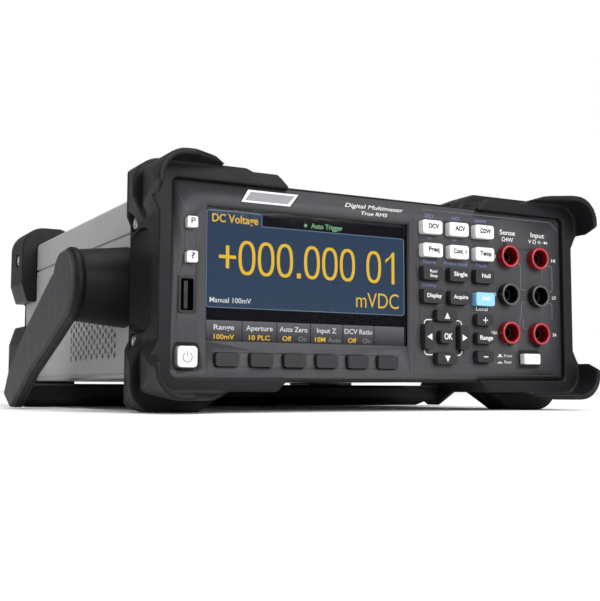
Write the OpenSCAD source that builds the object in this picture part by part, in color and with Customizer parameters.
// Bench multimeter: half-rack, 2U, with corner bumpers and a swinging carrying handle.
// +X is to the right seen from the front, +Y runs to the rear, +Z is up.
// The origin is on the table, under the middle of the overall box.

/* [Case] */
// Width of the sheet-metal case
case_w = 200.8; // [160:0.1:260]
// Height of the sheet-metal case
case_h = 78.3; // [76:0.1:110]
// Depth of the sheet-metal case behind the front panel
case_d = 214; // [170:1:320]
// Height of the case above the table
foot_h = 13.9; // [13.5:0.1:20]
// Thickness of the case sheet
sheet_t = 1.2; // [0.8:0.1:2]
// Radius of the long edges of the case
case_r = 2.5; // [2:0.1:4]
// Distance from the top of the case down to the seam in its sides
seam_drop = 15.4; // [10:0.1:24]
// Width of the seam between cover and tray
seam_w = 1.2; // [0.6:0.1:2]
// Distance between the columns of the side vent
vent_pitch_y = 4.3; // [4:0.1:6]
// Distance between the holes in one column of the side vent
vent_pitch_z = 4.6; // [4.2:0.1:6]
// Width across the corners of a vent hole
vent_hole = 3.6; // [2.4:0.1:3.8]
// Columns of holes in the side vent
vent_columns = 17; // [8:1:21]
// Holes in one column of the side vent
vent_rows = 4; // [2:1:5]

/* [Front panel] */
// Thickness of the moulded front plate
panel_t = 3; // [2.4:0.1:4]
// Depth of the moulded front panel
panel_d = 17; // [16:0.5:20]
// Thickness of the front panel's side walls
panel_wall = 2.4; // [2:0.1:3]
// Distance from the left edge of the panel to the lit area
lcd_left = 16.65; // [14:0.05:18]
// Distance from the top of the panel to the lit area
lcd_drop = 10.8; // [8:0.1:14]
// Width of the lit area of the 4.3 inch display
lcd_w = 95.04; // [90:0.01:100]
// Height of the lit area of the 4.3 inch display
lcd_h = 53.86; // [50:0.01:56]
// Thickness of the display module
lcd_t = 2.9; // [2:0.1:4]
// Thickness of the display window
window_t = 0.8; // [0.6:0.1:1.2]

/* [Bumpers] */
// Thickness of the rubber around the case
bumper_t = 5.5; // [4:0.1:8]
// How far the rubber's face stands ahead of the panel
bumper_proud = 2.3; // [1:0.1:4]
// How far the front bumper wraps back along the case
bumper_wrap = 32; // [31:0.5:40]
// How far the corner guards reach ahead of the panel
guard_out = 15; // [8:0.5:20]
// How far the corner guards stand out from the case
guard_side = 10.6; // [8:0.1:14]
// Thickness of the corner guards' lips
guard_lip = 2.4; // [1.6:0.1:3.5]
// How far the ridge of the front bumper stands out at the sides
ridge_side = 10.4; // [9:0.1:14]
// How far the ridge of the front bumper stands out at the top
ridge_top = 11; // [9:0.1:16]
// How far the rear bumper stands out at the sides
rear_side = 8.7; // [7:0.1:12]
// How far the rear bumper stands out at the top
rear_top = 9.3; // [7:0.1:12]
// How far the rear bumper wraps forward over the case
rear_wrap = 24; // [16:0.5:40]
// How far the rear bumper stands out behind the case
rear_out = 4; // [3:0.5:10]
// Radius of a bumper screw's head
screw_head_r = 2.75; // [2:0.05:3.2]
// Radius of a case screw's shank
screw_r = 1.5; // [1.2:0.05:2]

/* [Handle] */
// Gap between the side of the case and an arm
arm_gap = 23.6; // [18:0.1:40]
// Thickness of an arm
arm_t = 5.5; // [4:0.1:8]
// Length from the pivot to the end of an arm
arm_len = 115.5; // [110:0.5:140]
// Radius of the round end of an arm
arm_end_r = 16; // [14:0.5:17]
// Radius of the pivot pin
pin_r = 6; // [4:0.1:8]
// Running clearance around the pivot pin
pin_gap = 0.05; // [0.02:0.01:0.1]
// Angle of the stowed arms below the horizontal
stow_angle = 25; // [24:0.1:26]
// Clearance between the handle's grip and the table
grip_gap = 0.5; // [0.3:0.1:2]

/* [Keys] */
// Width of a function key
key_w = 10.6; // [8:0.1:12]
// Height of a function key
key_h = 6.1; // [5:0.1:8]
// Distance between the columns of function keys
key_pitch_x = 14.6; // [13:0.1:18]
// Distance between the rows of function keys
key_pitch_z = 10.37; // [9.5:0.01:12]
// How far the function keys stand out of the panel
key_proud = 3.3; // [2:0.1:5]
// Width of a soft key
soft_w = 10.2; // [7:0.1:12]
// Height of a soft key
soft_h = 5.5; // [4:0.1:6]
// Distance between the soft keys
soft_pitch = 15.25; // [13:0.05:17]
// Side of the square power button
power_w = 8.3; // [6:0.1:9]
// Travel of the keys
key_travel = 1.2; // [0.6:0.1:2]
// Travel of the front and rear input selector
switch_travel = 3; // [2:0.1:3.4]
// Gap around every key in its opening
key_gap = 0.3; // [0.2:0.05:0.4]

/* [Input jacks] */
// Distance between the two columns of jacks
jack_pitch_x = 18.1; // [17:0.1:22]
// Distance between the rows of jacks
jack_pitch_z = 17.85; // [17:0.05:20]
// Outer radius of a jack's insulating shroud
jack_r = 5.2; // [5:0.1:6.5]
// Inner radius of a jack's insulating shroud
shroud_bore_r = 4.1; // [4:0.05:4.3]
// Radius of the contact bore of a 4 mm jack
contact_bore_r = 2; // [1.9:0.05:2.1]
// Outer radius of the contact sleeve
sleeve_r = 2.8; // [2.5:0.05:3.2]
// Depth of the contact bore
contact_depth = 20; // [16:0.5:24]
// How far the jacks stand out of the panel
jack_proud = 3.8; // [1:0.1:6]

/* [Rear panel] */
// Width of the mains inlet's opening
inlet_w = 24.4; // [24:0.1:25]
// Height of the mains inlet's opening
inlet_h = 16.6; // [16:0.1:17]
// Distance between the rear jacks
rear_jack_pitch = 17; // [16:0.5:19]
// Outer radius of a trigger socket
bnc_r = 4.8; // [4.7:0.05:4.9]

/* [Inside] */
// Thickness of the circuit boards
board_t = 1.6; // [1:0.1:2.4]
// Height of the main board above the bottom sheet
standoff_h = 8; // [5:0.5:12]
// Side of the square core of the mains transformer
core_w = 46; // [36:1:50]

/* [Hidden] */
$fn = 48;
// A small overlap that lets one cut run cleanly past a face.
past = 0.5;
// Further than anything stands out of the case.
clear = 40;

// Depth planes, from front to rear.
front_y = -(guard_out + panel_d + case_d + rear_out) / 2;
panel_y = front_y + guard_out;
case_y0 = panel_y + panel_d;
case_y1 = case_y0 + case_d;
rear_y = case_y1 + rear_out;
bumper_y = panel_y - bumper_proud;
wrap_y = panel_y + bumper_wrap;

// Heights of the case.
case_z0 = foot_h;
case_z1 = foot_h + case_h;
mid_z = foot_h + case_h / 2;
half_w = case_w / 2;
seam_z = case_z1 - seam_drop;

// Display recess: its opening, and the sloping ledge that carries the soft keys.
lcd_x0 = -half_w + lcd_left;
lcd_x1 = lcd_x0 + lcd_w;
lcd_z1 = case_z1 - lcd_drop;
lcd_z0 = lcd_z1 - lcd_h;
open_x0 = lcd_x0 - 1.2;
open_x1 = lcd_x1 + 1.2;
open_z1 = lcd_z1 + 1.2;
open_slope = 1;
ledge_z1 = lcd_z0 + 1;
ledge_z0 = ledge_z1 - 13.2;
plate_y = panel_y + panel_t;
window_y = plate_y - window_t;
window_over = 1;
lcd_y = plate_y;
lcd_border = 3.4;
lcd_border_low = 2.4;

// Keys: their planes, and the plungers and domes behind them.
flange_gap = 0.1;
flange_t = 1;
flange_over = 0.7;
key_r = 1.2;
flange_y = plate_y + flange_gap;
dome_gap = 0.3;
dome_y = flange_y + flange_t + key_travel + dome_gap;
dome_r = 2.1;
mat_t = 1;
mat_y = max(lcd_y + lcd_t + 0.1, dome_y + 1);
front_board_y = mat_y + mat_t;

// Places of the controls, from the right and left edges of the panel.
key_x0 = half_w - 77.4;
key_z0 = case_z1 - 10.3;
nav_x = half_w - 70;
nav_z = case_z0 + 18.9;
nav_dx = 9.7;
nav_dz = 9.6;
nav_long = 11;
nav_short = 4.9;
ok_w = 7;
ok_h = 5.4;
range_x = key_x0 + 2 * key_pitch_x - 0.3;
range_pitch = 8.35;
range_w = 9.3;
range_h = 5;
small_x = -half_w + 8.5;
small_w = 4.5;
preset_z = case_z1 - 17.2;
help_z = case_z1 - 31;
small_proud = 2.5;
power_x = -half_w + 7.3;
power_z = case_z0 + 8.1;
power_well = 11.4;
power_well_d = 1.4;
usb_x = -half_w + 7.3;
usb_z = case_z0 + 32.5;
usb_w = 7.4;
usb_h = 14.8;
usb_depth = 12;
usb_hole_w = 5.1;
usb_hole_h = 12.5;
usb_proud = 0.3;
usb_tongue_t = 1.8;
usb_tongue_h = 11;
soft_x0 = lcd_x0 + 7.85;
soft_z = ledge_z0 + 5.8;
soft_proud = 1.3;
switch_x = half_w - 21.3;
switch_z = case_z0 + 10;
switch_w = 9.6;
switch_h = 4.8;
switch_frame_w = 13.4;
switch_frame_h = 8.6;
switch_frame_t = 0.9;
switch_proud = switch_travel + 0.6;

// Jacks.
jack_x1 = half_w - 15.3;
jack_z0 = case_z0 + 22;
jack_front_y = panel_y - jack_proud;
shroud_gap = 0.05;
jack_flange_r = 6.6;
jack_flange_t = 2;
jack_back_y = panel_y + 26;
sleeve_set_back = 4;
sleeve_y = jack_front_y + sleeve_set_back;
shroud_bore_d = 14;
tail_r = 1.1;

// Rubber bumpers: outlines seen from the front.
strip_end = half_w - 51;
strip_chamfer = 5;
band_t = 1;
pad_corner_r = 12;
guard_top = guard_side - 1.7;
guard_limb_x = half_w - 25;
guard_limb_z = 14.2;
guard_lean = 3;
guard_lean_y = front_y + 6;
guard_tip_in = 5;
guard_tip_z = 5.2;
guard_root_z = 12.2;
groove_y = panel_y + 11;
ridge_y = panel_y + 15;
ridge_lean = 3.4;
ridge_limb_x = half_w - 54;
foot_limb_x = half_w - 33;
ridge_limb_z = 15.2;
ridge_ramp = 14;
rim_y = wrap_y - 4.6;
rim_groove_w = 1.2;
rim_groove_d = 1.4;
side_ramp = 10;
dish_y = (panel_y + 4.5 + wrap_y) / 2;
dish_half = wrap_y - dish_y;
dish_d = 2.2;
dish_round_r = (dish_half * dish_half / dish_d + dish_d) / 2;
dish_r = 21;
rear_limb_x = half_w - 23;
rear_limb_top = 33.2;
rear_limb_bottom = 31.2;
rear_lip = 6;

// Lowest and foremost hole of the side vent.
vent_y0 = case_y0 + 49;
vent_z0 = case_z0 + 10.6;

// Screws of the bumpers, and of the rear panel.
bumper_screw_y = panel_y + 27;
bumper_screw_in = 14.6;
BUMPER_SCREW_Z = [case_z0 + bumper_screw_in, case_z1 - bumper_screw_in];
rear_screw_y = case_y1 - 12;
rear_screw_in = 9;
REAR_SCREW_Z = [case_z0 + rear_screw_in, case_z1 - rear_screw_in];
PANEL_SCREW_PLACES = [for (s = [-1, 1], z = [case_z0 + 6, case_z1 - 8]) [s * (half_w - 12), z]];
screw_block = 10;
screw_block_t = 3;
counterbore_r = screw_head_r + 1.1;
head_t = 2;
head_sunk = head_t + 0.5;
screw_hole_gap = 0.1;

// Handle: its hubs turn just behind the front bumper.
hub_gap = 0.6;
hub_r0 = arm_end_r + 1.6;
hub_r1 = arm_end_r - 1;
pivot_y = wrap_y + hub_gap + hub_r0;
arm_x = half_w + arm_gap;
arm_edge_t = 3;
arm_inset = 2.1;
pin_flange_r = 10;
pin_flange_t = 2;
pin_len = arm_gap + 2;
grip_y0 = 81;
grip_h = 11.6;
grip_d = 15.5;
grip_end_cut = 6;

// Rear panel, just inside the case.
rear_t = 1.5;
rear_inset = 8;
rear_panel_y = case_y1 - rear_inset;
inner_gap = 0.1;
inlet_x = -half_w + 30;
inlet_z = case_z0 + 24;
inlet_wall = 2;
inlet_depth = 17;
inlet_pin_l = 10;
fuse_x = inlet_x + 30;
fuse_r = 7;
lan_x = -4;
lan_z = case_z0 + 20;
LAN_BODY = [16, 14];
LAN_MOUTH = [11.8, 8.4];
lan_depth = 12;
usb_b_x = 18;
USB_B_BODY = [12, 11];
USB_B_MOUTH = [8.5, 7.8];
USB_B_TONGUE = [5.6, 3.2];
usb_b_depth = 10;
port_wall = 4;
port_proud = rear_t + 0.5;
bnc_z = case_z1 - 18;
bnc_x0 = -18;
bnc_pitch = 20;
bnc_len = 11;
bnc_bore_r = 4;
bnc_bore_d = 9;
bnc_flange_r = 7;
bnc_lug_l = 11.2;
bnc_lug_w = 2;
bnc_pin_r = 1.1;
rear_jack_x = half_w - 24;
rear_jack_rise = 9;
// Three upper jacks, and two lower ones below the gaps between them.
REAR_RED_PLACES = [for (i = [0:2]) [rear_jack_x - i * rear_jack_pitch, mid_z + rear_jack_rise]];
REAR_BLACK_PLACES = [for (i = [0, 1]) [rear_jack_x - (i + 0.5) * rear_jack_pitch, mid_z - rear_jack_rise]];
REAR_JACK_PLACES = concat(REAR_RED_PLACES, REAR_BLACK_PLACES);
rear_jack_y = rear_panel_y + rear_t + 3;
rear_jack_len = 28;

// Main board and what stands on it.
board_y0 = case_y0 + 22;
board_y1 = rear_panel_y - 4;
board_x0 = -half_w + 62;
board_x1 = half_w - 8;
board_z = case_z0 + sheet_t + standoff_h;
standoff_r = 3;
core_x = -half_w + 34;
core_y = 38;
core_len = 46;
core_h = core_w * 0.85;
core_limb = 11;
coil_z = 8;

// ---------- shapes that several parts share ----------

// Points along an arc, in degrees.
function arc(cx, cy, r, a0, a1, n = 8) =
    [for (i = [0:n]) [cx + r * cos(a0 + (a1 - a0) * i / n), cy + r * sin(a0 + (a1 - a0) * i / n)]];

// A rectangle with round corners, centred.
module round_rect(w, h, r) {
    square([w - 2 * r, h], center = true);
    square([w, h - 2 * r], center = true);
    for (x = [-1, 1], z = [-1, 1])
        translate([x * (w / 2 - r), z * (h / 2 - r)]) circle(r);
}

// Extrudes a flat shape drawn in X and Z from y0 back to y1.
module slab(y0, y1) {
    translate([0, y1, 0]) rotate([90, 0, 0]) linear_extrude(y1 - y0) children();
}

// Extrudes a flat shape drawn in Y and Z from x0 to x1.
module side_slab(x0, x1) {
    translate([x0, 0, 0]) rotate([90, 0, 90]) linear_extrude(x1 - x0) children();
}

// A cylinder along +Y.
module rod_y(x, z, y0, y1, r) {
    translate([x, y1, z]) rotate([90, 0, 0]) cylinder(r = r, h = y1 - y0);
}

// A cylinder or cone along +X.
module rod_x(y, z, x0, x1, r0, r1) {
    translate([x0, y, z]) rotate([0, 90, 0]) cylinder(r1 = r0, r2 = r1, h = x1 - x0);
}

// Copies at places given in X and Z.
module at_places(places) {
    for (p = places) translate([p[0], 0, p[1]]) children();
}

// The outline of the case, made smaller or larger all round.
module case_outline(grow = 0) {
    translate([0, mid_z])
        round_rect(case_w + 2 * grow, case_h + 2 * grow, max(case_r + grow, 0.6));
}

// A pair of copies, left and right.
module both_sides() {
    children();
    mirror([1, 0, 0]) children();
}

// ---------- keys ----------

// A key cap with a flange behind the plate that keeps it in its opening.
module key_cap(x, z, w, h, proud, r = key_r) {
    slab(panel_y - proud, flange_y + past) translate([x, z]) round_rect(w, h, r);
    slab(flange_y, flange_y + flange_t)
        translate([x, z]) square([w + 2 * flange_over, h + 2 * flange_over], center = true);
}

// The opening in the front plate for a key.
module key_opening(x, z, w, h, r = key_r) {
    slab(panel_y - past, flange_y) translate([x, z])
        round_rect(w + 2 * key_gap, h + 2 * key_gap, r + key_gap);
}

function grid_x(col) = key_x0 + col * key_pitch_x;
function grid_z(row) = key_z0 - row * key_pitch_z;
function soft_x(i) = soft_x0 + i * soft_pitch;

module grid_key(col, row) {
    key_cap(grid_x(col), grid_z(row), key_w, key_h, key_proud);
}

// Each dome's place: every key but the input selector stands on one.
DOME_PLACES = concat(
    [for (c = [0:2], r = [0:3]) [grid_x(c), grid_z(r)]],
    [for (i = [0:5]) [soft_x(i), soft_z]],
    [for (s = [-1, 1]) [nav_x + s * nav_dx, nav_z]],
    [for (s = [-1, 0, 1]) [nav_x, nav_z + s * nav_dz]],
    [for (s = [-1, 0, 1]) [range_x, nav_z + s * range_pitch]],
    [[small_x, preset_z], [small_x, help_z], [power_x, power_z]]);

// ---------- front panel ----------

// The ledge slopes from the window out to the face of the panel.
module ledge_wedge() {
    side_slab(open_x0, open_x1)
        polygon([[panel_y, ledge_z0], [window_y, ledge_z1], [plate_y, ledge_z1], [plate_y, ledge_z0]]);
}

module display_opening() {
    slab(panel_y - past, plate_y + past)
        translate([open_x0, ledge_z0]) square([open_x1 - open_x0, open_z1 - ledge_z0]);
    // The top wall slopes back to the window.
    side_slab(open_x0, open_x1)
        polygon([[panel_y - past, open_z1 - past], [panel_y - past, open_z1 + open_slope],
            [panel_y, open_z1 + open_slope], [window_y, open_z1 - 0.01]]);
    // A rebate behind it holds the window.
    slab(window_y, plate_y + past) translate([open_x0 - window_over, ledge_z1])
        square([open_x1 - open_x0 + 2 * window_over, open_z1 - ledge_z1 + window_over]);
}

// The middle of a front jack, from its column counted leftwards and its row counted upwards.
function jack_place(c, r) = [jack_x1 - c * jack_pitch_x, jack_z0 + r * jack_pitch_z];
RED_PLACES = [for (c = [0, 1], r = [0, 2]) jack_place(c, r)];
BLACK_PLACES = [for (c = [0, 1]) jack_place(c, 1)];
JACK_PLACES = concat(RED_PLACES, BLACK_PLACES);

// Posts behind the front plate that carry the board.
POST_PLACES = [[-half_w + 6, case_z0 + 17.5], [-half_w + 9, case_z1 - 6], [lcd_x1 + 4.3, case_z1 - 5],
    [half_w - 5, case_z0 + 8], [half_w - 5, case_z1 - 6]];
post_r = 2;

module front_panel() {
    color("#555558") difference() {
        union() {
            difference() {
                slab(panel_y, case_y0) case_outline();
                slab(plate_y, case_y0 + past) case_outline(-panel_wall);
            }
            at_places(POST_PLACES) rod_y(0, 0, plate_y - past, front_board_y, post_r);
        }
        difference() {
            display_opening();
            ledge_wedge();
        }
        for (i = [0:5]) key_opening(soft_x(i), soft_z, soft_w, soft_h);
        for (c = [0:2], r = [0:3]) key_opening(grid_x(c), grid_z(r), key_w, key_h);
        for (s = [-1, 1]) {
            key_opening(nav_x + s * nav_dx, nav_z, nav_short, nav_long);
            key_opening(nav_x, nav_z + s * nav_dz, nav_long, nav_short);
        }
        key_opening(nav_x, nav_z, ok_w, ok_h);
        for (s = [-1, 0, 1]) key_opening(range_x, nav_z + s * range_pitch, range_w, range_h);
        for (z = [preset_z, help_z]) key_opening(small_x, z, small_w, small_w, 0.8);
        key_opening(power_x, power_z, power_w, power_w, 1.6);
        slab(panel_y - past, panel_y + power_well_d) translate([power_x, power_z])
            round_rect(power_well, power_well, 2.4);
        slab(panel_y - past, flange_y + past) translate([switch_x, switch_z])
            square([switch_w + 2 * key_gap, switch_h + 2 * key_gap], center = true);
        slab(panel_y - past, flange_y + past) translate([usb_x, usb_z])
            round_rect(usb_w + 0.1, usb_h + 0.1, 0.8);
        at_places(JACK_PLACES) rod_y(0, 0, panel_y - past, flange_y + past, jack_r + shroud_gap);
    }
    // Raised frame around the input selector.
    color("#1c1c1e") slab(panel_y - switch_frame_t, panel_y) translate([switch_x, switch_z]) difference() {
        round_rect(switch_frame_w, switch_frame_h, 1.6);
        square([switch_w + 2 * key_gap, switch_h + 2 * key_gap], center = true);
    }
}

module display_window() {
    over = window_over - 0.1;
    color([0.1, 0.12, 0.14, 0.5]) translate([open_x0 - over, window_y, ledge_z1])
        cube([open_x1 - open_x0 + 2 * over, window_t, open_z1 - ledge_z1 + over]);
}

module lcd_module() {
    color("#40546e") translate([lcd_x0 - lcd_border, lcd_y, lcd_z0 - lcd_border_low])
        cube([lcd_w + 2 * lcd_border, lcd_t, lcd_h + lcd_border_low + lcd_border]);
}

module key_mat() {
    color("#7c7f84") {
        slab(mat_y, mat_y + mat_t) difference() {
            case_outline(-panel_wall - 1);
            mat_cutouts();
        }
        at_places(DOME_PLACES) rod_y(0, 0, dome_y, mat_y + past, dome_r);
    }
}

// Openings that the rubber mat leaves for the jacks, the selector, the port and the posts.
module mat_cutouts() {
    translate([jack_x1 - jack_pitch_x - 8, case_z0]) square([half_w, case_h]);
    translate([usb_x, usb_z]) square([usb_w + 3, usb_h + 3], center = true);
    for (p = POST_PLACES) translate(p) circle(post_r + 0.4);
}

module front_board() {
    color("#1f5a38") slab(front_board_y, front_board_y + board_t) difference() {
        case_outline(-panel_wall - 0.8);
        for (p = JACK_PLACES) translate(p) circle(jack_r + 1);
        translate([usb_x, usb_z]) square([usb_w + 2, usb_h + 2], center = true);
        translate([switch_x, switch_z]) square([switch_w + 4, switch_h + 4], center = true);
    }
}

// One insulating shroud with a bore for the contact sleeve.
module jack_shroud() {
    difference() {
        union() {
            rod_y(0, 0, jack_front_y, jack_back_y, jack_r);
            rod_y(0, 0, plate_y, plate_y + jack_flange_t, jack_flange_r);
        }
        rod_y(0, 0, jack_front_y - past, jack_front_y + shroud_bore_d, shroud_bore_r);
        rod_y(0, 0, jack_front_y, jack_back_y + past, sleeve_r);
    }
}

module red_jacks() {
    color("#8c1220") at_places(RED_PLACES) jack_shroud();
}

module black_jacks() {
    color("#151515") at_places(BLACK_PLACES) jack_shroud();
}

// A contact sleeve with its solder tail.
module contact_sleeve(y0, y1) {
    difference() {
        union() {
            rod_y(0, 0, y0, y1, sleeve_r);
            rod_y(0, 0, y1 - past, y1 + 6, tail_r);
        }
        rod_y(0, 0, y0 - past, y0 + contact_depth, contact_bore_r);
    }
}

module jack_contacts() {
    color("#c8a860") {
        at_places(JACK_PLACES) contact_sleeve(sleeve_y, jack_back_y + 3);
        at_places(REAR_JACK_PLACES) translate([0, rear_jack_y - sleeve_set_back, 0])
            mirror([0, 1, 0]) contact_sleeve(0, rear_jack_len - 1);
    }
}

module usb_port() {
    color("#3c3d40") difference() {
        slab(panel_y - usb_proud, panel_y + usb_depth)
            translate([usb_x, usb_z]) round_rect(usb_w, usb_h, 0.8);
        slab(panel_y - 1, panel_y + usb_depth - 1)
            translate([usb_x, usb_z]) round_rect(usb_hole_w, usb_hole_h, 0.6);
    }
    // The tongue that carries the contacts.
    color("#d8d8d8") translate([usb_x - usb_tongue_t / 2, panel_y + 1.2, usb_z - usb_tongue_h / 2])
        cube([usb_tongue_t, usb_depth - 2, usb_tongue_h]);
}

// ---------- bumpers ----------

// The right-hand outline of the upper corner's rubber pad, seen from the front.
// side is how far it stands out sideways and top how far up. The upper limb starts at limb_x
// and rises over a ramp, and the side limb ends limb_z below the top of the case.
module corner_pad(side, top, limb_x, ramp, limb_z, r) {
    x1 = half_w + side;
    z1 = case_z1 + top;
    z0 = case_z1 - limb_z;
    polygon(concat(
        [[half_w - 8, case_z1 - 8], [half_w - 8, case_z1 - past], [limb_x, case_z1 - past],
            [limb_x, case_z1 + bumper_t - 0.01], [limb_x + ramp, z1]],
        arc(x1 - r, z1 - r, r, 90, 0),
        [[x1, z0 + side_ramp], [half_w + bumper_t - 0.01, z0], [half_w - past, z0],
            [half_w - past, case_z1 - 8]]));
}

// Turns something drawn at the top of the case upside down, to its bottom.
module at_bottom() {
    translate([0, 2 * mid_z]) mirror([0, 1]) children();
}

// The C-shaped strip around one side of the panel.
module side_strip() {
    x1 = half_w + bumper_t;
    z0 = case_z0 - bumper_t;
    z1 = case_z1 + bumper_t;
    r = case_r + bumper_t;
    polygon(concat(
        [[strip_end, case_z0 + past], [strip_end, case_z0 - 1], [strip_end + strip_chamfer, z0]],
        arc(x1 - r, z0 + r, r, -90, 0),
        arc(x1 - r, z1 - r, r, 0, 90),
        [[strip_end + strip_chamfer, z1], [strip_end, case_z1 + 1], [strip_end, case_z1 - past]]));
}

module guard_outline() {
    corner_pad(guard_side, guard_top, guard_limb_x, side_ramp, guard_limb_z, pad_corner_r);
}

// The lips reach forward at the corners and fade back into the strips.
module guard_shell() {
    difference() {
        slab(front_y, groove_y) difference() {
            union() {
                guard_outline();
                at_bottom() guard_outline();
            }
            case_outline();
        }
        // Hollow between the lips, ahead of the strips.
        slab(front_y - past, bumper_y) intersection() {
            translate([0, mid_z]) round_rect(2 * (half_w + guard_side - guard_lip),
                case_h + 2 * (guard_top - guard_lip), pad_corner_r - guard_lip);
            translate([0, case_z0 - clear]) square([half_w + clear, case_h + 2 * clear]);
        }
        for (s = [0, 1]) translate([0, 0, 2 * mid_z * s]) mirror([0, 0, s]) {
            // Slope back along the upper limb.
            translate([0, 0, case_z0 - clear]) linear_extrude(clear + guard_top)
                polygon([[0, front_y - past], [half_w - guard_tip_in, front_y - past],
                    [half_w - guard_tip_in, front_y], [guard_limb_x, bumper_y], [0, bumper_y]]);
            // The outside leans in towards the groove, above and below.
            side_slab(0, half_w + clear)
                polygon([[guard_lean_y, case_z0 - guard_top],
                    [groove_y + past, case_z0 - guard_top + guard_lean],
                    [groove_y + past, case_z0 - clear], [guard_lean_y, case_z0 - clear]]);
        }
        // It leans in at the side too.
        linear_extrude(case_z1 + clear)
            polygon([[half_w + guard_side, guard_lean_y],
                [half_w + guard_side - guard_lean, groove_y + past],
                [half_w + clear, groove_y + past], [half_w + clear, guard_lean_y]]);
        // Slope back along the side limbs.
        side_slab(half_w, half_w + clear)
            polygon([[front_y - past, case_z0 + guard_tip_z], [front_y, case_z0 + guard_tip_z],
                [bumper_y, case_z0 + guard_root_z], [bumper_y, case_z1 - guard_root_z],
                [front_y, case_z1 - guard_tip_z], [front_y - past, case_z1 - guard_tip_z]]);
    }
}

// The ridge's outline: the upper corner, and the foot below it.
module ridge_outline(inset = 0) {
    r = pad_corner_r - inset;
    corner_pad(ridge_side - inset, ridge_top - inset, ridge_limb_x + inset, ridge_ramp, ridge_limb_z, r);
    at_bottom()
        corner_pad(ridge_side - inset, foot_h - inset, foot_limb_x + inset, ridge_ramp, ridge_limb_z, r);
}

module front_bumper_half() {
    difference() {
        union() {
            slab(bumper_y, wrap_y) side_strip();
            // A thin band joins the two halves above and below the panel.
            slab(panel_y, wrap_y) intersection() {
                case_outline(band_t);
                translate([0, case_z0 - clear]) square([strip_end + strip_chamfer, case_h + 2 * clear]);
            }
            guard_shell();
            slab(ridge_y, rim_y) ridge_outline();
            slab(rim_y, rim_y + rim_groove_w) ridge_outline(rim_groove_d + ridge_lean);
            slab(rim_y + rim_groove_w, wrap_y) ridge_outline();
        }
        slab(bumper_y - past, wrap_y + past) case_outline();
        // The side of the ridge leans in towards the rear.
        linear_extrude(case_z1 + clear)
            polygon([[half_w + ridge_side, ridge_y], [half_w + ridge_side - ridge_lean, wrap_y + past],
                [half_w + clear, wrap_y + past], [half_w + clear, ridge_y]]);
        // A round shallow dish in the side.
        intersection() {
            rod_x(dish_y, mid_z, half_w, half_w + clear, dish_r, dish_r);
            translate([half_w + bumper_t - dish_d + dish_round_r, dish_y, 0])
                cylinder(r = dish_round_r, h = case_z1);
        }
        for (z = BUMPER_SCREW_Z) bumper_screw_cut(bumper_screw_y, z, bumper_t);
    }
}

// A counterbored hole through the rubber at the side.
module bumper_screw_cut(y, z, wall) {
    r = screw_r + screw_hole_gap;
    rod_x(y, z, half_w - past, half_w + wall + clear, r, r);
    rod_x(y, z, half_w + wall - head_sunk, half_w + wall + clear, counterbore_r, counterbore_r);
}

module front_bumper() {
    color("#2a2a2c") both_sides() front_bumper_half();
}

module rear_bumper_half() {
    difference() {
        union() {
            slab(case_y1 - rear_wrap, rear_y) {
                corner_pad(rear_side, rear_top, rear_limb_x, side_ramp, rear_limb_top, pad_corner_r);
                at_bottom()
                    corner_pad(rear_side, foot_h, rear_limb_x, side_ramp, rear_limb_bottom, pad_corner_r);
            }
            slab(case_y1, rear_y) intersection() {
                case_outline();
                translate([-past, 0]) square([half_w + clear, case_z1 + clear]);
            }
        }
        slab(case_y1 - rear_wrap - past, case_y1) case_outline();
        slab(case_y1 - past, rear_y + past) case_outline(-rear_lip);
        for (z = REAR_SCREW_Z) bumper_screw_cut(rear_screw_y, z, rear_side);
    }
}

module rear_bumper() {
    color("#2a2a2c") both_sides() rear_bumper_half();
}

// A socket-head screw along X, its head's seat at x.
module side_screw(y, z, x) {
    difference() {
        union() {
            rod_x(y, z, x, x + head_t, screw_head_r, screw_head_r);
            rod_x(y, z, half_w - sheet_t - 3, x + past, screw_r, screw_r);
        }
        rod_x(y, z, x + 0.8, x + head_t + past, 1.25, 1.25);
    }
}

module bumper_screws() {
    color("#b8bbc0") both_sides() {
        for (z = BUMPER_SCREW_Z) side_screw(bumper_screw_y, z, half_w + bumper_t - head_sunk);
        for (z = REAR_SCREW_Z) side_screw(rear_screw_y, z, half_w + rear_side - head_sunk);
    }
}

// ---------- case ----------

// Holes in the side walls for the bumper screws, from front and rear.
module screw_holes() {
    r = screw_r + screw_hole_gap;
    both_sides() {
        for (z = BUMPER_SCREW_Z) rod_x(bumper_screw_y, z, half_w - 5, half_w + past, r, r);
        for (z = REAR_SCREW_Z) rod_x(rear_screw_y, z, half_w - 5, half_w + past, r, r);
    }
}

// Blocks behind the rear panel that take its screws: z says at what height they start.
module screw_blocks(z0, z1) {
    for (s = [-1, 1]) translate([s * (half_w - 12) - screw_block / 2, rear_panel_y - screw_block_t, z0])
        cube([screw_block, screw_block_t, z1 - z0]);
}

module panel_screw_holes(y0, y1) {
    for (p = PANEL_SCREW_PLACES) rod_y(p[0], p[1], y0, y1, screw_r + screw_hole_gap);
}

module case_cover() {
    color("#a3a4a6") difference() {
        union() {
            slab(case_y0, case_y1) difference() {
                case_outline();
                case_outline(-sheet_t);
                translate([-case_w, 0]) square([2 * case_w, seam_z]);
            }
            screw_blocks(case_z1 - 13, case_z1 - sheet_t + 0.2);
        }
        screw_holes();
        panel_screw_holes(rear_panel_y - screw_block_t - past, rear_panel_y + past);
    }
}

// A staggered field of six-sided holes.
module vent_field() {
    for (c = [0:vent_columns - 1], r = [0:vent_rows - 1 + (c % 2 == 0 ? 1 : 0)])
        translate([vent_y0 + c * vent_pitch_y, vent_z0 + (r + (c % 2) / 2) * vent_pitch_z])
            circle(d = vent_hole, $fn = 6);
}

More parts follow.
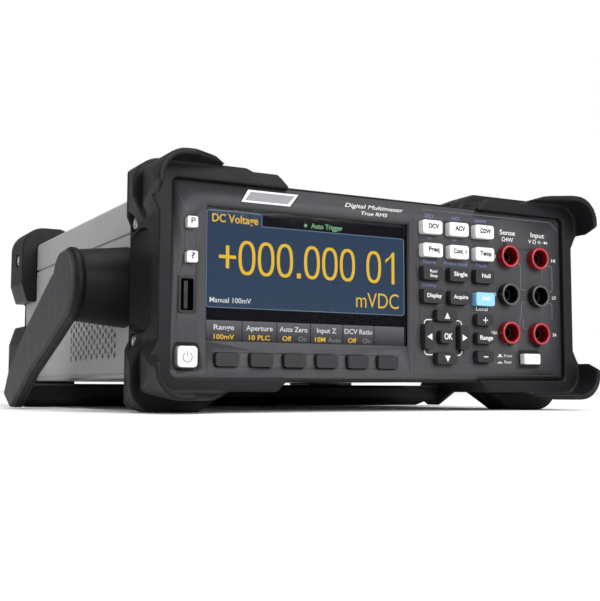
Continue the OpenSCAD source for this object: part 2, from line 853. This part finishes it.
module chassis_tray() {
    color("#8f9093") difference() {
        union() {
            slab(case_y0, case_y1) difference() {
                case_outline();
                case_outline(-sheet_t);
                translate([-case_w, seam_z - seam_w]) square([2 * case_w, case_h]);
            }
            // Inner flanges that back the seam.
            both_sides() slab(case_y0, rear_panel_y - inner_gap)
                translate([half_w - 2 * sheet_t, seam_z - 8]) square([sheet_t, 12]);
            standoffs();
            screw_blocks(case_z0 + sheet_t - 0.2, case_z0 + 11);
        }
        panel_screw_holes(rear_panel_y - screw_block_t - past, rear_panel_y + past);
        both_sides() side_slab(half_w - sheet_t - past, half_w + past) vent_field();
        // A shallow groove along the lower edge of each side.
        both_sides() slab(case_y0 - past, case_y1 + past)
            translate([half_w - 0.5, case_z0 + case_r - 0.6]) square([1, 0.9]);
        both_sides() rod_x(pivot_y, mid_z, half_w - 5, half_w + past, pin_r, pin_r);
        screw_holes();
    }
}

module standoffs() {
    for (x = [board_x0 + 6, board_x1 - 8], y = [board_y0 + 6, board_y1 - 6])
        translate([x, y, case_z0 + sheet_t - 0.2]) cylinder(r = standoff_r, h = standoff_h + 0.2);
}

module main_board() {
    color("#1f5a38") translate([board_x0, board_y0, board_z])
        cube([board_x1 - board_x0, board_y1 - board_y0, board_t]);
}

module transformer() {
    translate([core_x - core_w / 2, core_y, case_z0 + sheet_t]) {
        color("#707276") difference() {
            cube([core_w, core_len, core_h]);
            translate([-1, core_limb, coil_z]) cube([core_w + 2, core_len - 2 * core_limb, core_w]);
        }
        color("#c9a23a") translate([5, core_limb, coil_z])
            cube([core_w - 10, core_len - 2 * core_limb, core_h - coil_z]);
    }
}

module shield_can() {
    color("#c4c6c9") translate([board_x0 + 30, board_y0 + 14, board_z + board_t])
        cube([board_x1 - board_x0 - 60, 70, 18]);
}

module pivot_pins() {
    color("#8a8c90") both_sides() {
        rod_x(pivot_y, mid_z, half_w - sheet_t - pin_flange_t, half_w - sheet_t,
            pin_flange_r, pin_flange_r);
        rod_x(pivot_y, mid_z, half_w - sheet_t - past, half_w + pin_len, pin_r, pin_r);
    }
}

// ---------- rear panel ----------

module rear_panel() {
    color("#9a9b9e") difference() {
        slab(rear_panel_y, rear_panel_y + rear_t) difference() {
            case_outline(-sheet_t - inner_gap);
            translate([inlet_x, inlet_z])
                square([inlet_w + 2 * inlet_wall, inlet_h + 2 * inlet_wall], center = true);
            translate([lan_x, lan_z]) square(LAN_BODY, center = true);
            translate([usb_b_x, lan_z]) square(USB_B_BODY, center = true);
        }
        rod_y(fuse_x, inlet_z, rear_panel_y - past, rear_panel_y + 3, fuse_r - 1);
        at_places(REAR_JACK_PLACES)
            rod_y(0, 0, rear_panel_y - past, rear_panel_y + 3, jack_r + shroud_gap);
        for (i = [0, 1]) rod_y(bnc_x0 + i * bnc_pitch, bnc_z, rear_panel_y - past, rear_panel_y + 3, bnc_r);
        panel_screw_holes(rear_panel_y - past, rear_panel_y + 3);
        // Slots above the mains inlet let warm air out.
        for (i = [0:7]) slab(rear_panel_y - past, rear_panel_y + 3)
            translate([inlet_x - 16 + i * 5, case_z1 - 22]) square([2.4, 14]);
    }
}

module mains_inlet() {
    y1 = rear_panel_y + rear_t + 1.5;
    color("#161617") difference() {
        union() {
            slab(y1 - inlet_depth - 2, y1 - 1.5) translate([inlet_x, inlet_z])
                square([inlet_w + 2 * inlet_wall, inlet_h + 2 * inlet_wall], center = true);
            slab(y1 - 1.5, y1) translate([inlet_x, inlet_z])
                square([inlet_w + 8, inlet_h + 8], center = true);
        }
        slab(y1 - inlet_depth, y1 + past)
            translate([inlet_x, inlet_z]) square([inlet_w, inlet_h], center = true);
    }
    // Two flat pins below, and the earth pin above.
    color("#c9ccd0") for (p = [[-7, -1.5], [7, -1.5], [0, 3]])
        translate([inlet_x + p[0] - 1, y1 - inlet_depth - past, inlet_z + p[1] - 2])
            cube([2, inlet_pin_l + past, 4]);
}

module fuse_holder() {
    color("#161617") {
        rod_y(fuse_x, inlet_z, rear_panel_y - 26, rear_panel_y + rear_t + past, fuse_r - 1);
        difference() {
            rod_y(fuse_x, inlet_z, rear_panel_y + rear_t, rear_panel_y + rear_t + 5, fuse_r);
            translate([fuse_x - 4, rear_panel_y + rear_t + 3.8, inlet_z - 0.6]) cube([8, 3, 1.2]);
        }
    }
}

// A rear jack's shroud faces backwards.
module rear_shroud() {
    difference() {
        union() {
            rod_y(0, 0, rear_jack_y - rear_jack_len, rear_jack_y, jack_r);
            rod_y(0, 0, rear_panel_y - jack_flange_t, rear_panel_y, jack_flange_r);
        }
        rod_y(0, 0, rear_jack_y - shroud_bore_d, rear_jack_y + past, shroud_bore_r);
        rod_y(0, 0, rear_jack_y - rear_jack_len - past, rear_jack_y, sleeve_r);
    }
}

module rear_red_jacks() {
    color("#8c1220") at_places(REAR_RED_PLACES) rear_shroud();
}

module rear_black_jacks() {
    color("#151515") at_places(REAR_BLACK_PLACES) rear_shroud();
}

module trigger_sockets() {
    y1 = rear_panel_y + bnc_len;
    color("#c9ccd0") for (i = [0, 1]) translate([bnc_x0 + i * bnc_pitch, 0, bnc_z]) {
        difference() {
            union() {
                rod_y(0, 0, rear_panel_y - 6, y1, bnc_r);
                rod_y(0, 0, rear_panel_y - 2, rear_panel_y, bnc_flange_r);
                translate([-bnc_lug_l / 2, y1 - 5, -bnc_lug_w / 2]) cube([bnc_lug_l, bnc_lug_w, bnc_lug_w]);
            }
            rod_y(0, 0, y1 - bnc_bore_d, y1 + past, bnc_bore_r);
        }
        rod_y(0, 0, y1 - bnc_bore_d - past, y1 - 1, bnc_pin_r);
    }
}

// A metal shell with a mouth of the given size and depth.
module port_shell(body, mouth, depth) {
    y1 = rear_panel_y + port_proud;
    difference() {
        slab(y1 - depth - port_wall, y1) square(body, center = true);
        slab(y1 - depth, y1 + past) square(mouth, center = true);
    }
}

module lan_port() {
    color("#c4c6c9") translate([lan_x, 0, lan_z]) port_shell(LAN_BODY, LAN_MOUTH, lan_depth);
}

module usb_device_port() {
    y1 = rear_panel_y + port_proud;
    color("#c4c6c9") translate([usb_b_x, 0, lan_z]) {
        port_shell(USB_B_BODY, USB_B_MOUTH, usb_b_depth);
        slab(y1 - usb_b_depth - past, y1 - 1.5) square(USB_B_TONGUE, center = true);
    }
}

module rear_screws() {
    color("#b8bbc0") for (p = PANEL_SCREW_PLACES) {
        rod_y(p[0], p[1], rear_panel_y - 4, rear_panel_y + rear_t + past, screw_r);
        rod_y(p[0], p[1], rear_panel_y + rear_t, rear_panel_y + rear_t + 1.6, screw_head_r);
    }
}

// ---------- handle ----------

// The side outline of an arm, drawn with the pivot at 0 and its length along +X.
module arm_outline(inset = 0) {
    r = arm_end_r - inset;
    offset(delta = -inset) polygon([[0, 0], [9, arm_end_r - 2.7], [arm_len - 55.5, arm_end_r - 2.5],
        [arm_len - 15.5, arm_end_r - 6.5], [arm_len, 2.5], [arm_len - 12.5, 3.5 - arm_end_r],
        [arm_len - 54.5, 4.4 - arm_end_r], [25, 1.5 - arm_end_r], [-1, -arm_end_r]]);
    circle(r);
}

module arm_side(inset = 0) {
    translate([pivot_y, mid_z]) rotate(-stow_angle) arm_outline(inset);
}

// The arm on the right, with its hub and the blind bore for the pivot pin.
module arm_right() {
    difference() {
        union() {
            side_slab(arm_x, arm_x + arm_t - arm_edge_t) arm_side();
            // The outer face is smaller all round, in two steps.
            side_slab(arm_x, arm_x + arm_t - arm_edge_t / 2) arm_side(arm_inset / 2);
            side_slab(arm_x, arm_x + arm_t) arm_side(arm_inset);
            rod_x(pivot_y, mid_z, half_w + hub_gap, arm_x + past, hub_r0, hub_r1);
        }
        rod_x(pivot_y, mid_z, half_w, half_w + pin_len + 0.4, pin_r + pin_gap, pin_r + pin_gap);
        arm_foot_cut();
    }
}

// Trims the lower end of an arm level with the underside of the grip.
module arm_foot_cut() {
    translate([arm_x - 5, 0, -50]) cube([arm_t + 10, 200, 50 + grip_gap]);
}

module handle_arm_right() {
    color("#343436") arm_right();
}

module handle_arm_left() {
    color("#343436") mirror([1, 0, 0]) arm_right();
}

module handle_grip() {
    color("#242426") difference() {
        side_slab(-arm_x, arm_x) translate([pivot_y + grip_y0, grip_gap])
            polygon([[4.5, 0], [grip_d - 3.5, 0], [grip_d, 4.2], [grip_d - 1.5, grip_h - 1.4],
                [grip_d - 4.5, grip_h], [1, grip_h], [0, grip_h - 1], [0, 4.6]]);
        // The right-hand end rises to its arm.
        slab(pivot_y, pivot_y + 2 * grip_y0)
            polygon([[arm_x + past, 0], [arm_x - 2.4 * grip_end_cut, 0],
                [arm_x + past, grip_gap + grip_end_cut]]);
        slab(pivot_y, pivot_y + 2 * grip_y0)
            polygon([[-arm_x - past, 0], [-arm_x + grip_end_cut / 2, 0],
                [-arm_x - past, grip_gap + grip_end_cut / 2]]);
    }
}

// ---------- moving controls ----------

// An arrow key, one step from the middle of the pad.
module nav_key(dx, dz) {
    w = dx == 0 ? nav_long : nav_short;
    h = dx == 0 ? nav_short : nav_long;
    color("#3c3c3e") key_cap(nav_x + dx * nav_dx, nav_z + dz * nav_dz, w, h, key_proud);
}

module range_key(step) {
    color("#3c3c3e") key_cap(range_x, nav_z + step * range_pitch, range_w, range_h, key_proud);
}

module power_button() {
    color("#f2f2f2") key_cap(power_x, power_z, power_w, power_w, 1.5, 1.6);
}

module preset_key() {
    color("#f2f2f2") key_cap(small_x, preset_z, small_w, small_w, small_proud, 0.8);
}

module help_key() {
    color("#f2f2f2") key_cap(small_x, help_z, small_w, small_w, small_proud, 0.8);
}

module soft_key(i) {
    color("#3c3c3e") key_cap(soft_x(i), soft_z, soft_w, soft_h, soft_proud);
}

module input_switch() {
    color("#f2f2f2") {
        slab(panel_y - switch_proud, flange_y + past)
            translate([switch_x, switch_z]) round_rect(switch_w, switch_h, 0.8);
        slab(flange_y, flange_y + flange_t) translate([switch_x, switch_z])
            square([switch_w + 2 * flange_over, switch_h + 2 * flange_over], center = true);
    }
}

front_panel();
display_window();
lcd_module();
key_mat();
front_board();
red_jacks();
black_jacks();
jack_contacts();
usb_port();
front_bumper();
rear_bumper();
bumper_screws();
case_cover();
chassis_tray();
main_board();
transformer();
shield_can();
pivot_pins();
rear_panel();
mains_inlet();
fuse_holder();
rear_red_jacks();
rear_black_jacks();
trigger_sockets();
lan_port();
usb_device_port();
rear_screws();
handle_arm_left();
handle_arm_right();
handle_grip();
power_button();
preset_key();
help_key();
soft_key(0);  // soft_key_1
soft_key(1);  // soft_key_2
soft_key(2);  // soft_key_3
soft_key(3);  // soft_key_4
soft_key(4);  // soft_key_5
soft_key(5);  // soft_key_6
color("#f2f2f2") grid_key(0, 0);  // dcv_key
color("#f2f2f2") grid_key(1, 0);  // acv_key
color("#f2f2f2") grid_key(2, 0);  // ohm_key
color("#f2f2f2") grid_key(0, 1);  // freq_key
color("#f2f2f2") grid_key(1, 1);  // cont_key
color("#f2f2f2") grid_key(2, 1);  // temp_key
color("#3c3c3e") grid_key(0, 2);  // run_key
color("#3c3c3e") grid_key(1, 2);  // single_key
color("#3c3c3e") grid_key(2, 2);  // null_key
color("#3c3c3e") grid_key(0, 3);  // display_key
color("#3c3c3e") grid_key(1, 3);  // acquire_key
color("#8cc4ee") grid_key(2, 3);  // shift_key
nav_key(0, 1);  // nav_up
nav_key(0, -1);  // nav_down
nav_key(-1, 0);  // nav_left
nav_key(1, 0);  // nav_right
color("#3c3c3e") key_cap(nav_x, nav_z, ok_w, ok_h, key_proud);  // nav_ok
range_key(1);  // range_up
range_key(0);  // range_auto
range_key(-1);  // range_down
input_switch();
